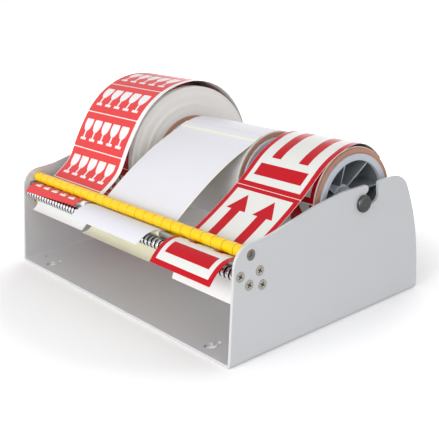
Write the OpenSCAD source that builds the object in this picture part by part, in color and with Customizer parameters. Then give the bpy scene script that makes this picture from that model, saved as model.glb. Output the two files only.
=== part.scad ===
// Label dispenser machine: a folded steel chassis with three label rolls on a
// drop-in shaft, and ringed rollers, a peel bar and a ribbed roller in front.
// X runs along the rollers, Y from front to back, Z up, with the origin under
// the middle of the base. Units are mm.

/* [Chassis] */
// Front to back length of the base
base_d = 208; // [204:1:230]
// Thickness of the folded sheet
sheet_t = 2.5; // [2.2:0.1:3.2]
// Inner radius of the two bends
bend_r = 1; // [0.5:0.1:2.5]
// Height of the flat top edge of the side plates
plate_h = 105.4; // [103:0.2:112]
// Big hole of the keyholes in the base
keyhole_d = 10; // [8:0.5:14]
// Slot width of the keyholes
keyslot_w = 4.6; // [3.5:0.1:6]
// Distance of the keyholes from the outer faces of the side plates
keyhole_in = 36; // [25:0.5:60]

/* [Shaft] */
// Distance of the shaft from the back edge of the base
shaft_back = 66.8; // [62:0.2:70]
// Depth of the shaft below the top edges of the plates
shaft_drop = 14; // [13:0.2:16]
// Diameter of the shaft
shaft_d = 14; // [12.4:0.1:16]
// Diameter of the necks that lie in the slots
neck_d = 11; // [9:0.1:11.4]
// How far the shaft heads stand proud of the plates
head_t = 3.5; // [2:0.1:6]
// Slope of the slot's lower leg
slot_slope = 17; // [14:1:20]

/* [Label rolls] */
// Bore of the cardboard cores
core_bore = 76; // [70:0.5:77]
// Wall of the cardboard cores
core_wall = 4.2; // [3:0.1:4.6]
// Thickness of the labels wound on the left core
left_wound = 34.8; // [10:0.2:39]
// Thickness of the labels wound on the middle core
mid_wound = 1.6; // [1:0.1:20]
// Thickness of the labels wound on the right core
right_wound = 1.3; // [0.8:0.1:20]
// Width of the left roll
left_roll_w = 87; // [70:0.5:110]
// Width of the middle roll
mid_roll_w = 101.5; // [70:0.5:130]
// Width of the right roll
right_roll_w = 77; // [66:0.5:100]
// Room between the left plate and the left roll
left_room = 16.5; // [14:0.5:40]
// Room between the left and the middle roll
left_gap = 14.5; // [10:0.5:30]
// Room between the middle and the right roll
right_gap = 13; // [10:0.5:30]
// Room between the right roll and the right plate
right_room = 5.5; // [4:0.5:30]
// Number of ribs in a hub
hub_ribs = 8; // [6:1:10]

/* [Rollers] */
// Outer diameter of the yellow ringed rollers
ring_d = 9.6; // [8.4:0.1:9.7]
// Number of rings on a roller
ring_count = 25; // [19:1:29]
// Outer diameter of the ribbed roller
rib_d = 9.6; // [8.8:0.1:9.7]
// Number of ribs on the ribbed roller
rib_count = 55; // [40:1:64]
// Diameter of the roller axles
axle_d = 6; // [5.2:0.1:6.2]
// Diameter of the peel bar
peel_d = 4.8; // [4:0.1:5]
// Diameter of the rear tie rod
tie_d = 9.5; // [7:0.1:10]

/* [Paper] */
// Thickness of the label web
web_t = 0.3; // [0.2:0.02:0.36]
// Reach of the peeled left label in front of the peel bar
left_label = 18; // [8:1:26]
// Reach of the peeled middle label
mid_label = 26; // [8:1:34]
// Reach of the peeled right label
right_label = 26; // [16:1:34]
// Length of the left liner tail
left_tail = 11; // [4:1:30]
// Length of the middle liner tail
mid_tail = 14; // [4:1:30]
// Length of the right liner tail
right_tail = 17; // [4:1:30]

/* [Hidden] */
$fn = 48;
gap = 0.3;        // between a moving piece and what it passes
play = 0.08;      // radial running play
// The side plates stand as far apart as the rolls and their rooms ask for.
inner = (left_room + left_roll_w + left_gap + mid_roll_w + right_gap + right_roll_w + right_room) / 2;
half = inner + sheet_t;
mid = base_d / 2;
bend_o = bend_r + sheet_t;

// Axes of the cross rods, [y, z], set out from the peel bar in ring diameters.
peel = [18 - mid, plate_h - 30.1];
upper = peel + ring_d * [0.75, 0.615];
lower = peel + ring_d * [1.54, -0.845];
ribbed = peel + ring_d * [-0.365, -0.82];
guide = peel + ring_d * [0.44, -1.7];
tie = peel + ring_d * [1.73, -2.04];
shaft_y = base_d - shaft_back;
shaft_z = plate_h - shaft_drop;
shaft_at = [shaft_y - mid, shaft_z];

cheek_t = 3;
ring_gap = 0.4;
ring_w = 2 * (inner - ring_gap) / ring_count;
low_ring_w = 2 * (inner - cheek_t - ring_gap) / ring_count;
ring_r = ring_d / 2;
rib_r = rib_d / 2;
rib_floor = rib_r - 0.75;
axle_r = axle_d / 2;
peel_r = peel_d / 2;
screw_r = 1.9;
screw_head_r = 3.9;

slot_r = neck_d / 2 + gap;
slot_run = 12.5 / cos(slot_slope);
seat = [shaft_y, shaft_z];    // in the plate's own outline, from its front edge
mouth = seat + slot_run * [cos(slot_slope), sin(slot_slope)];
hook_y = mouth[0] - slot_r;

core_r = core_bore / 2;
roll_bore = core_r + core_wall;
left_r = roll_bore + left_wound;
mid_r = roll_bore + mid_wound;
right_r = roll_bore + right_wound;
shaft_r = shaft_d / 2;
hub_in = 28;
hub_out = 1.5;
boss_r = shaft_r + 4.2;

// X of the roll faces, and of the shares of the gaps that the hubs on both sides fill.
left_a = -inner + left_room;
left_b = left_a + left_roll_w;
mid_a = left_b + left_gap;
mid_b = mid_a + mid_roll_w;
right_a = mid_b + right_gap;
right_b = right_a + right_roll_w;
boss = 7.1;
spacer_w = left_room - gap - boss;

steel = [0.42, 0.44, 0.46];
bright = [0.8, 0.8, 0.8];
yellow = [1, 0.86, 0];
grey = [0.72, 0.75, 0.8];
paper = [0.95, 0.95, 0.92];

// ---- helpers ----

// Draw a 2D [y, z] outline as a slab from x0 to x1.
module slab(x0, x1) {
    translate([x0, 0, 0]) rotate([90, 0, 90]) linear_extrude(x1 - x0) children();
}

// A round bar along X at [y, z].
module bar(at, r, x0, x1) {
    translate([x0, at[0], at[1]]) rotate([0, 90, 0]) cylinder(r = r, h = x1 - x0);
}

// A turned profile along X: children are drawn as [radius, x].
module turned(at) {
    translate([0, at[0], at[1]]) rotate([0, 90, 0]) rotate_extrude() children();
}

// Unit vector at an angle.
function dir(a) = [cos(a), sin(a)];
// Angle of a crossing tangent from circle p (radius r) to circle q (radius s).
function cross_up(p, q, r, s) = atan2(q[1] - p[1], q[0] - p[0]) + asin((r + s) / norm(q - p));
function cross_down(p, q, r, s) = atan2(q[1] - p[1], q[0] - p[0]) - asin((r + s) / norm(q - p));
// Points on an arc about c from angle a to b.
function arc(c, r, a, b, n) = [for (i = [0 : n]) c + r * dir(a + (b - a) * i / n)];
// Normal of a path at point i, averaged over the two legs it joins.
function leg(p, i) = (p[i + 1] - p[i]) / norm(p[i + 1] - p[i]);
function side(v) = [-v[1], v[0]];
function corner(p, i) = i == 0 ? side(leg(p, 0)) : i == len(p) - 1 ? side(leg(p, i - 1))
    : let (a = side(leg(p, i - 1)), b = side(leg(p, i)), m = a + b) m * 2 / (m * m);

// A thin sheet that follows a [y, z] path.
module sheet(p, t, x0, x1) {
    n = len(p);
    slab(x0, x1) polygon(concat(
        [for (i = [0 : n - 1]) p[i] + corner(p, i) * t / 2],
        [for (i = [n - 1 : -1 : 0]) p[i] - corner(p, i) * t / 2]));
}

// ---- chassis ----

// Outline of a side plate as [y, z] from its front edge, walked clockwise.
module plate_outline() {
    hook_r = (cos(slot_slope) * (plate_h - shaft_z) - slot_r - sin(slot_slope) * (hook_y - shaft_y))
        / (1 + cos(slot_slope) - sin(slot_slope));
    hook = [hook_y - hook_r, plate_h - hook_r];
    front_r = 18;
    front = peel + [mid + 9, -3.3];
    lean = acos(front_r / norm(front)) - atan2(front[1], front[0]);
    back_r = 18.6;
    big_r = 190;
    big = [base_d - big_r, 25];
    back = [big[0] + sqrt(pow(big_r - back_r, 2) - pow(plate_h - back_r - big[1], 2)), plate_h - back_r];
    turn = atan2(back[1] - big[1], back[0] - big[0]);
    polygon(concat(
        [[bend_o * tan(lean), bend_o]],
        arc(front, front_r, 180 - lean, 90, 12),
        [front + [16.6, front_r + 1], [shaft_y - 52.4, plate_h - 4.3], [shaft_y - 21.7, plate_h]],
        arc(hook, hook_r, 90, slot_slope - 90, 12),
        arc(seat, slot_r, slot_slope + 90, slot_slope + 270, 16),
        arc(mouth, slot_r, slot_slope + 270, 360, 8),
        arc(mouth + [slot_r + 2, plate_h - 2 - mouth[1]], 2, 180, 90, 5),
        arc(back, back_r, 90, turn, 12),
        arc(big, big_r, turn - 2, 0, 8),
        [[base_d, bend_o]]));
}

// Keyhole cut through the base, big hole in front.
module keyhole(x) {
    r = keyhole_d / 2;
    w = keyslot_w / 2;
    neck = asin(w / r);
    translate([x, -mid, -1]) linear_extrude(sheet_t + 2) polygon(concat(
        arc([0, 11], r, 90 + neck, 450 - neck, 28), arc([0, 19], w, 0, 180, 10)));
}

// Countersunk hole in a side plate, s is the side.
module sink(at, s) {
    translate([s * half, at[0], at[1]]) rotate([0, -s * 90, 0]) {
        translate([0, 0, -1]) cylinder(r = screw_r + 0.2, h = sheet_t + 2);
        translate([0, 0, -1]) cylinder(r = screw_head_r + gap, h = 1.1);
        translate([0, 0, 0.1]) cylinder(r1 = screw_head_r + gap, r2 = screw_r + 0.2, h = screw_head_r - screw_r + 0.1);
    }
}

// Counterbored hole for a sunk cheese-head screw.
module bore(at, s) {
    translate([s * half, at[0], at[1]]) rotate([0, -s * 90, 0]) {
        translate([0, 0, -1]) cylinder(r = screw_r + 0.2, h = sheet_t + 2);
        translate([0, 0, -1]) cylinder(r = screw_head_r + gap, h = 2.8);
    }
}

module bend(s) {
    translate([s * (half - bend_o), -mid, bend_o]) rotate([-90, 0, 0]) intersection() {
        difference() {
            cylinder(r = bend_o, h = base_d);
            translate([0, 0, -1]) cylinder(r = bend_r, h = base_d + 2);
        }
        translate([s < 0 ? -bend_o : 0, 0, 0]) cube([bend_o, bend_o, base_d]);
    }
}

module chassis() color([0.76, 0.76, 0.76]) difference() {
    union() {
        translate([-half + bend_o, -mid, 0]) cube([2 * (half - bend_o), base_d, sheet_t]);
        for (s = [-1, 1]) bend(s);
        slab(-half, -inner) translate([-mid, 0]) plate_outline();
        slab(inner, half) translate([-mid, 0]) plate_outline();
    }
    for (s = [-1, 1]) {
        keyhole(s * (half - keyhole_in));
        for (y = [18 - mid, mid - 18]) translate([s * (half - 12.5), y, -1]) cylinder(r = 1.8, h = sheet_t + 2);
        bore(upper, s);
        for (at = [lower, ribbed, guide, tie]) sink(at, s);
    }
}

// ---- fixed cross rods ----

module cheek(x0) color(steel) difference() {
    union() {
        bar(peel, 3.3, x0, x0 + cheek_t);
        slab(x0, x0 + cheek_t) polygon([peel + [-3.2, 0.6], peel + [3.2, 0.6], peel + [8.9, -8],
            peel + [8.9, -13], guide + [-4.5, 1.5], peel + [1.9, -7]]);
        bar(guide, 4.6, x0, x0 + cheek_t);
        slab(x0, x0 + cheek_t) polygon([guide + [-0.6, 4.5], tie + [0.6, 4.5], tie + [-0.8, -4.4], guide + [-0.8, -4.4]]);
        bar(tie, 4.6, x0, x0 + cheek_t);
    }
    bar(peel, peel_r, x0 - 1, x0 + cheek_t + 1);
    bar(guide, axle_r, x0 - 1, x0 + cheek_t + 1);
    bar(tie, screw_r, x0 - 1, x0 + cheek_t + 1);
}
module cheek_left() cheek(-inner);
module cheek_right() cheek(inner - cheek_t);

module peel_bar() color(steel) bar(peel, peel_r, -inner, inner);

// A rod with a tapped hole in each end.
module rod(at, r, x) difference() {
    bar(at, r, -x, x);
    bar(at, screw_r, -x - 1, -x + 10);
    bar(at, screw_r, x - 10, x + 1);
}
module tie_rod() color(steel) rod(tie, tie_d / 2, inner - cheek_t);
module upper_axle() color(steel) rod(upper, axle_r, inner);
module lower_axle() color(steel) rod(lower, axle_r, inner);
module ribbed_axle() color(steel) rod(ribbed, axle_r, inner);
module guide_axle() color(steel) rod(guide, axle_r, inner);

// Cross recess cut into a screw head.
module recess() for (a = [35, 125]) rotate([0, 0, a]) translate([-2.1, -0.45, -1]) cube([4.2, 0.9, 2.2]);

// A countersunk screw, its head 0.1 below the plate's face.
module screw(at, s, long) {
    translate([s * half, at[0], at[1]]) rotate([0, -s * 90, 0]) translate([0, 0, 0.1]) difference() {
        union() {
            cylinder(r = screw_head_r, h = 0.3);
            translate([0, 0, 0.3]) cylinder(r1 = screw_head_r, r2 = screw_r, h = screw_head_r - screw_r - 0.3);
            translate([0, 0, 1]) cylinder(r = screw_r, h = long - 1);
        }
        recess();
    }
}
module screws(s) {
    for (at = [lower, ribbed, guide]) screw(at, s, sheet_t + 7);
    screw(tie, s, sheet_t + cheek_t + 7);
}
module screws_left() color(bright) screws(-1);
module screws_right() color(bright) screws(1);

// A cheese-head screw sunk in its counterbore.
module sunk_screw(s) {
    translate([s * half, upper[0], upper[1]]) rotate([0, -s * 90, 0]) translate([0, 0, 0.6]) difference() {
        union() {
            cylinder(r = screw_head_r, h = 1.2);
            cylinder(r = screw_r, h = sheet_t + 7);
        }
        translate([0, 0, -0.4]) recess();
    }
}
module recessed_screws() color([0.45, 0.42, 0.4]) {
    sunk_screw(-1);
    sunk_screw(1);
}

// ---- rollers ----

// Rings from number a to number b of a row that starts at x0, width w each.
module rings(at, x0, w, a, b) color(yellow) turned(at) polygon(concat(
    [[axle_r + play, x0 + a * w]],
    [for (i = [a : b - 1]) each [
        [ring_r - 0.35, x0 + i * w + (i == a ? gap / 2 : 0)], [ring_r, x0 + i * w + 0.35],
        [ring_r, x0 + (i + 1) * w - 0.35], [ring_r - 0.35, x0 + (i + 1) * w - (i == b - 1 ? gap / 2 : 0.01)]]],
    [[axle_r + play, x0 + b * w - gap / 2], [axle_r + play, x0 + a * w + gap / 2]]));

lane_1 = round((mid_a - left_gap / 2 + inner) / ring_w);
lane_2 = round((mid_b + right_gap / 2 + inner) / ring_w);
module upper_rings_left() rings(upper, -inner + ring_gap, ring_w, 0, lane_1);
module upper_rings_mid() rings(upper, -inner + ring_gap, ring_w, lane_1, lane_2);
module upper_rings_right() rings(upper, -inner + ring_gap, ring_w, lane_2, ring_count);
module lower_rings() rings(lower, -inner + ring_gap, ring_w, 0, ring_count);
module guide_rings() rings(guide, -inner + cheek_t + ring_gap, low_ring_w, 0, ring_count);

module ribbed_roller() color(bright) {
    long = 2 * (inner - ring_gap);
    pitch = long / rib_count;
    turned(ribbed) polygon(concat(
        [[axle_r + play, -long / 2]],
        [for (i = [0 : rib_count - 1]) let (x = -long / 2 + i * pitch) each [
            [rib_floor, x], [rib_floor, x + 0.12 * pitch], [rib_r - 0.15, x + 0.25 * pitch],
            [rib_r, x + 0.4 * pitch], [rib_r, x + 0.6 * pitch], [rib_r - 0.15, x + 0.75 * pitch],
            [rib_floor, x + 0.88 * pitch]]],
        [[rib_floor, long / 2], [axle_r + play, long / 2]]));
}

// ---- shaft and rolls ----

module shaft() color(steel) turned(shaft_at) polygon([
    [0, -half - head_t], [shaft_r - 0.9, -half - head_t], [shaft_r, -half - head_t + 0.9],
    [shaft_r, -half - gap], [neck_d / 2, -half - gap], [neck_d / 2, -inner + gap],
    [shaft_r, -inner + gap], [shaft_r, inner - gap], [neck_d / 2, inner - gap],
    [neck_d / 2, half + gap], [shaft_r, half + gap], [shaft_r, half + head_t - 0.9],
    [shaft_r - 0.9, half + head_t], [0, half + head_t]]);

module spacer_sleeve() color(grey)
    turned(shaft_at) translate([shaft_r, -inner + gap]) square([3.5, spacer_w - gap]);

// A spoked hub: its face is at x, s says which way it faces, out is how far the boss reaches.
module hub(x, s, out) {
    color(grey) translate([x, shaft_at[0], shaft_at[1]]) rotate([0, s * 90, 0]) {
        difference() {
            translate([0, 0, -hub_in]) cylinder(r = core_r, h = hub_in + hub_out);
            translate([0, 0, -hub_in + 2]) cylinder(r = core_r - 2, h = hub_in - 3.5);
            translate([0, 0, -2]) cylinder(r = core_r - 5.4, h = 5);
            translate([0, 0, -hub_in - 1]) cylinder(r = shaft_r + play, h = 4);
        }
        difference() {
            union() {
                translate([0, 0, -hub_in]) cylinder(r = boss_r, h = hub_in + out);
                for (i = [0 : hub_ribs - 1]) rotate([0, 0, i * 360 / hub_ribs + 12])
                    translate([boss_r - 1, -0.7, -hub_in + 1]) cube([core_r - boss_r - 0.5, 1.4, hub_in - 3]);
            }
            translate([0, 0, -hub_in - 1]) cylinder(r = shaft_r + play, h = hub_in + out + 2);
        }
    }
}
module hub_left_a() hub(left_a, -1, boss - gap / 2);
module hub_left_b() hub(left_b, 1, (left_gap - gap) / 2);
module hub_mid_a() hub(mid_a, -1, (left_gap - gap) / 2);
module hub_mid_b() hub(mid_b, 1, (right_gap - gap) / 2);
module hub_right_a() hub(right_a, -1, (right_gap - gap) / 2);
module hub_right_b() hub(right_b, 1, right_room - gap);

module tube(x0, x1, r0, r1) turned(shaft_at) translate([r0, x0]) square([r1 - r0, x1 - x0]);
module core_left() color([0.69, 0.5, 0.42]) tube(left_a, left_b, core_r, roll_bore);
module core_mid() color([0.69, 0.5, 0.42]) tube(mid_a, mid_b, core_r, roll_bore);
module core_right() color([0.69, 0.5, 0.42]) tube(right_a, right_b, core_r, roll_bore);
module roll_left() color(paper) tube(left_a, left_b, roll_bore, left_r);
module roll_mid() color(paper) tube(mid_a, mid_b, roll_bore, mid_r);
module roll_right() color(paper) tube(right_a, right_b, roll_bore, right_r);

// ---- paper ----

peel_path = peel_r + 0.1 + web_t / 2;          // radius of the paper round the peel bar
ring_path = ring_r + gap + web_t / 2;    // radius of the paper round a ringed roller
rib_path = rib_r + gap + web_t / 2;
over = cross_down(peel, upper, peel_path, ring_path);   // direction of the web from the peel bar under the upper rings
lip = peel + peel_path * dir(over + 90);                // where the label leaves the liner

// The web runs under the upper rings and up to its roll of radius r.
module web(r, x0, x1) {
    rise = cross_up(upper, shaft_at, ring_path, r + gap + web_t / 2);
    color(paper) sheet(concat([lip],
        arc(upper, ring_path, over - 90, rise - 90, 10),
        [shaft_at + (r + gap + web_t / 2) * dir(rise + 90)]), web_t, x0, x1);
}
module web_left() web(left_r, left_a, left_b);
module web_mid() web(mid_r, mid_a, mid_b);
module web_right() web(right_r, right_a, right_b);

// A peeled label leaves along the web and bends down, its front edge at lift times its reach over the bar.
module label(reach, lift, x0, x1) {
    start = peel + (peel_path + web_t + 0.1) * dir(over + 90);
    rise = -tan(over);
    sag = (start[1] - peel[1]) / pow(reach, 2) + (rise - lift) / reach;
    color(paper) sheet([for (i = [0 : 10]) let (d = reach * i / 10) start + [-d, rise * d - sag * d * d]],
        web_t, x0, x1);
}
module label_left() label(left_label, 0.094, left_a + 1.5, left_b - 1.5);
module label_mid() label(mid_label, -0.027, mid_a + 1.5, mid_b - 1.5);
module label_right() label(right_label, -0.435, right_a + 1.5, right_b - 1.5);

// The liner turns round the peel bar, passes between the ribbed roller and the
// guide rings, and hangs out as a tail of a given length that curls by curl degrees.
module liner(tail, curl, x0, x1) {
    back = cross_up(peel, ribbed, peel_path, rib_path);
    down = cross_down(ribbed, guide, rib_path, ring_path);
    end = guide + ring_path * dir(down - 90);
    color(paper) sheet(concat(
        arc(peel, peel_path, over + 96, back + 270, 12),
        arc(ribbed, rib_path, back + 90, down + 90, 8),
        [for (i = [0 : 6]) end + tail * i / 6 * dir(down - curl * i / 6)]), web_t, x0, x1);
}
module liner_left() liner(left_tail, 20, left_a, left_b);
module liner_mid() liner(mid_tail, 40, mid_a, mid_b);
module liner_right() liner(right_tail, 0, right_a, right_b);

chassis();
cheek_left();
cheek_right();
peel_bar();
tie_rod();
upper_axle();
lower_axle();
ribbed_axle();
guide_axle();
screws_left();
screws_right();
recessed_screws();
upper_rings_left();
upper_rings_mid();
upper_rings_right();
lower_rings();
guide_rings();
ribbed_roller();
shaft();
spacer_sleeve();
hub_left_a();
hub_left_b();
hub_mid_a();
hub_mid_b();
hub_right_a();
hub_right_b();
core_left();
core_mid();
core_right();
roll_left();
roll_mid();
roll_right();
web_left();
web_mid();
web_right();
label_left();
label_mid();
label_right();
liner_left();
liner_mid();
liner_right();
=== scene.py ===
import math

import bmesh
import bpy
from mathutils import Matrix, Vector


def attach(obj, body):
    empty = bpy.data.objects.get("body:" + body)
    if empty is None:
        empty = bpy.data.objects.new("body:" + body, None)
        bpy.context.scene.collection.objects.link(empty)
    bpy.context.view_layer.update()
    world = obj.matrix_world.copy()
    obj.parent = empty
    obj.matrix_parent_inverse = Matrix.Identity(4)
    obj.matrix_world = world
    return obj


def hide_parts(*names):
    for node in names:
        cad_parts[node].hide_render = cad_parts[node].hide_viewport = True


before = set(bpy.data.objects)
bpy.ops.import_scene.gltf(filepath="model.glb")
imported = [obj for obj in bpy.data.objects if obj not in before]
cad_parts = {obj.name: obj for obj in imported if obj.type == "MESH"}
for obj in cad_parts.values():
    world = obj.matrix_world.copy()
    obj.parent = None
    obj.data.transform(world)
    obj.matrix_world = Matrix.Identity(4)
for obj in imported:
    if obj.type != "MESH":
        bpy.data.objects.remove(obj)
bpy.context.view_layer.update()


# ---- Studio ----
# A white table in an evenly lit room with soft lamps on three sides, seen by a
# long lens from the front right, a little above the machine.

camera_at = Vector((0.59063, -0.44223, 0.29605))
turn_left = math.radians(51.96)
look_down = math.radians(18.42)
tilt = math.radians(-3.36)
ahead = Vector((
    -math.sin(turn_left) * math.cos(look_down),
    math.cos(turn_left) * math.cos(look_down),
    -math.sin(look_down),
))
level = Vector((math.cos(turn_left), math.sin(turn_left), 0))
upright = level.cross(ahead)
to_right = math.cos(tilt) * level + math.sin(tilt) * upright
to_top = -math.sin(tilt) * level + math.cos(tilt) * upright

film_side = 36
photo_pixels = 440
focal_pixels = 855.77
lens = bpy.data.cameras.new("lens")
lens.sensor_width = film_side
lens.lens = focal_pixels * film_side / photo_pixels
lens.clip_start = 0.01
camera = bpy.data.objects.new("camera", lens)
camera.matrix_world = Matrix((
    (to_right.x, to_top.x, -ahead.x, camera_at.x),
    (to_right.y, to_top.y, -ahead.y, camera_at.y),
    (to_right.z, to_top.z, -ahead.z, camera_at.z),
    (0, 0, 0, 1),
))
bpy.context.scene.collection.objects.link(camera)
bpy.context.scene.camera = camera
bpy.context.scene.view_settings.view_transform = "Standard"


def linear(colour):
    """An sRGB hex colour as linear red, green, blue and alpha."""
    parts = [int(colour[i:i + 2], 16) / 255 for i in (0, 2, 4)]
    return [p / 12.92 if p <= 0.04045 else ((p + 0.055) / 1.055) ** 2.4 for p in parts] + [1]


def add_node(tree, kind, sockets=None, **settings):
    """Adds one node with its settings; a socket takes a value, or a link from another node's output."""
    made = tree.nodes.new(kind)
    for name, value in settings.items():
        setattr(made, name, value)
    for name, value in (sockets or {}).items():
        if isinstance(value, bpy.types.NodeSocket):
            tree.links.new(value, made.inputs[name])
        else:
            made.inputs[name].default_value = value
    return made


lamps_face = Vector((0, 0, 0.05))


def softbox(name, at, size, power):
    """A square lamp that faces the machine."""
    lamp = bpy.data.lights.new(name, "AREA")
    lamp.shape = "SQUARE"
    lamp.size = size
    lamp.energy = power
    stand = bpy.data.objects.new(name, lamp)
    stand.location = at
    stand.rotation_euler = (lamps_face - Vector(at)).to_track_quat("-Z", "Y").to_euler()
    bpy.context.scene.collection.objects.link(stand)


softbox("high_front", at=(0.35, -1.5, 0.9), size=1.2, power=6)
softbox("low_front", at=(0.25, -1.5, 0.5), size=1.0, power=10.8)
softbox("right_side", at=(1.5, -0.2, 0.7), size=1.2, power=3.6)
softbox("back_side", at=(-0.9, 1.3, 0.6), size=1.2, power=6)

# The room looks white to the lens and in mirrors, and gives matt surfaces a softer light.
room_light = 0.6
world = bpy.data.worlds.new("room")
bpy.context.scene.world = world
world.use_nodes = True
room = world.node_tree
room.nodes.clear()
seen = add_node(room, "ShaderNodeLightPath")
seen_or_mirrored = add_node(room, "ShaderNodeMath", {
    0: seen.outputs["Is Camera Ray"], 1: seen.outputs["Is Glossy Ray"]}, operation="MAXIMUM")
strength = add_node(room, "ShaderNodeMapRange", {
    "Value": seen_or_mirrored.outputs[0], "To Min": room_light, "To Max": 1.0})
sky = add_node(room, "ShaderNodeBackground", {"Color": linear("FDFDFF"), "Strength": strength.outputs[0]})
add_node(room, "ShaderNodeOutputWorld", {"Surface": sky.outputs[0]})

# The table lies a hair below the base, so that their faces don't flicker.
table_size = 4
table_drop = 0.0002
table_mesh = bmesh.new()
bmesh.ops.create_grid(table_mesh, x_segments=1, y_segments=1, size=table_size)
table_data = bpy.data.meshes.new("table")
table_mesh.to_mesh(table_data)
table_mesh.free()
table = bpy.data.objects.new("table", table_data)
table.location.z = -table_drop
bpy.context.scene.collection.objects.link(table)

# White card: it keeps the machine's soft shadow, and fades to plain white further off.
shadow_keeps = 0.18
shadow_ends = 0.4
glow_in_shadow = 0.12
white_card = bpy.data.materials.new("white_card")
white_card.use_nodes = True
card = white_card.node_tree
card.nodes.clear()
card_place = add_node(card, "ShaderNodeTexCoord")
card_way = add_node(card, "ShaderNodeVectorMath", {0: card_place.outputs["Object"]}, operation="LENGTH")
card_fade = add_node(card, "ShaderNodeMapRange", {
    "Value": card_way.outputs["Value"], "From Min": shadow_keeps, "From Max": shadow_ends,
    "To Min": glow_in_shadow, "To Max": 1.0})
card_seen = add_node(card, "ShaderNodeLightPath")
card_matt = add_node(card, "ShaderNodeBsdfDiffuse", {"Color": linear("F6F6F6")})
card_glow = add_node(card, "ShaderNodeEmission", {
    "Color": linear("FFFFFF"), "Strength": card_fade.outputs[0]})
card_dark = add_node(card, "ShaderNodeEmission", {"Strength": 0.0})
card_pick = add_node(card, "ShaderNodeMixShader", {
    0: card_seen.outputs["Is Camera Ray"], 1: card_dark.outputs[0], 2: card_glow.outputs[0]})
card_sum = add_node(card, "ShaderNodeAddShader", {0: card_matt.outputs[0], 1: card_pick.outputs[0]})
add_node(card, "ShaderNodeOutputMaterial", {"Surface": card_sum.outputs[0]})
table_data.materials.append(white_card)


# ---- Chassis ----
# One 2.5 mm steel sheet, laser cut and folded up into a base with two side
# plates, then powder coated a pale satin grey. The edges were broken before
# coating, so they catch the light as a thin white line.


def finish_of(name, **sockets):
    """A new material with a Principled shader, as the material, its tree, its shader and its coordinates."""
    material = bpy.data.materials.new(name)
    material.use_nodes = True
    tree = material.node_tree
    tree.nodes.clear()
    shader = add_node(tree, "ShaderNodeBsdfPrincipled", sockets)
    add_node(tree, "ShaderNodeOutputMaterial", {"Surface": shader.outputs[0]})
    place = add_node(tree, "ShaderNodeTexCoord")
    return material, tree, shader, place


def put_on(piece, material):
    """Gives a piece one material."""
    piece.data.materials.clear()
    piece.data.materials.append(material)


def piece_from(mesh, name, material, body, slot, *nodes):
    """Turns a bmesh into a piece, with its material, its body and the CAD nodes it stands for; slot is not
    used.
    """
    data = bpy.data.meshes.new(name)
    mesh.to_mesh(data)
    mesh.free()
    piece = bpy.data.objects.new(name, data)
    bpy.context.scene.collection.objects.link(piece)
    data.materials.append(material)
    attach(piece, body)
    if nodes:
        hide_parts(*nodes)
    return piece


# A Mix node's sockets go by number, because its kinds share their names.
colour_a, colour_b, colour_out = 6, 7, 2
amount_a, amount_b = 2, 3


def mottled(tree, shader, place, scale, detail, dark, light):
    """Lets a finish waver between two shades, and returns the pattern and the colour."""
    pattern = add_node(tree, "ShaderNodeTexNoise", {
        "Vector": place.outputs["Object"], "Scale": scale, "Detail": detail})
    tone = add_node(tree, "ShaderNodeMix", {
        "Factor": pattern.outputs[0], colour_a: linear(dark), colour_b: linear(light)}, data_type="RGBA")
    tree.links.new(tone.outputs[colour_out], shader.inputs["Base Color"])
    return pattern.outputs[0], tone.outputs[colour_out]


# Powder coat: a satin skin with fine orange peel, a wave about 0.6 mm wide, and a
# slow change of tone over some 110 mm.
powder, tree, shader, place = finish_of("grey_powder_coat", Roughness=0.42, IOR=1.5)
mottled(tree, shader, place, 9.0, 3.0, "CBCCCE", "D1D2D4")
orange_peel = add_node(tree, "ShaderNodeTexNoise", {
    "Vector": place.outputs["Object"], "Scale": 1600.0, "Detail": 1.0})
skin = add_node(tree, "ShaderNodeBump", {
    "Height": orange_peel.outputs[0], "Strength": 0.12, "Distance": 0.0002})
tree.links.new(skin.outputs[0], shader.inputs["Normal"])

same_point = 2e-6
flat_within = math.radians(0.5)
shell_mesh = bmesh.new()
shell_mesh.from_mesh(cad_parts["chassis"].data)
bmesh.ops.remove_doubles(shell_mesh, verts=shell_mesh.verts, dist=same_point)
bmesh.ops.dissolve_limit(shell_mesh, angle_limit=flat_within, verts=shell_mesh.verts, edges=shell_mesh.edges)
for face in shell_mesh.faces:
    face.smooth = True
shell = piece_from(shell_mesh, "folded_shell", powder, "frame", "shell", "chassis")
broken = shell.modifiers.new("broken_edges", "BEVEL")
broken.width = 0.0004
broken.segments = 3
broken.limit_method = "ANGLE"
broken.angle_limit = math.radians(40)
broken.use_clamp_overlap = True
even = shell.modifiers.new("even_flats", "WEIGHTED_NORMAL")
even.mode = "FACE_AREA"
even.weight = 100


# ---- Screws ----
# Eight countersunk cross-head screws, nickel plated, hold the lower rods, and
# two darker cheese-head screws sit deeper in the holes of the upper rod.

# Nickel plate: bright and a little warm, with spots about 1.5 mm wide, and painted shade in
# the bottom of the cross, which is recess_floor from the middle of the machine.
recess_floor = 0.1588
nickel, tree, shader, place = finish_of("nickel_plate", Metallic=1.0, Roughness=0.24)
bright = mottled(tree, shader, place, 700.0, 2.0, "A8A499", "C6C2B7")[1]
outward = add_node(tree, "ShaderNodeSeparateXYZ", {"Vector": place.outputs["Object"]})
off_middle = add_node(tree, "ShaderNodeMath", {0: outward.outputs["X"]}, operation="ABSOLUTE")
in_recess = add_node(tree, "ShaderNodeMath", {
    0: off_middle.outputs[0], 1: recess_floor}, operation="LESS_THAN")
# Painted shade darkens the bottom of the cross recess.
recess_painted_shade = add_node(tree, "ShaderNodeMix", {
    "Factor": in_recess.outputs[0], colour_a: bright, colour_b: linear("3B3934")}, data_type="RGBA")
tree.links.new(recess_painted_shade.outputs[colour_out], shader.inputs["Base Color"])
put_on(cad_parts["screws_left"], nickel)
put_on(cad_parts["screws_right"], nickel)

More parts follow.
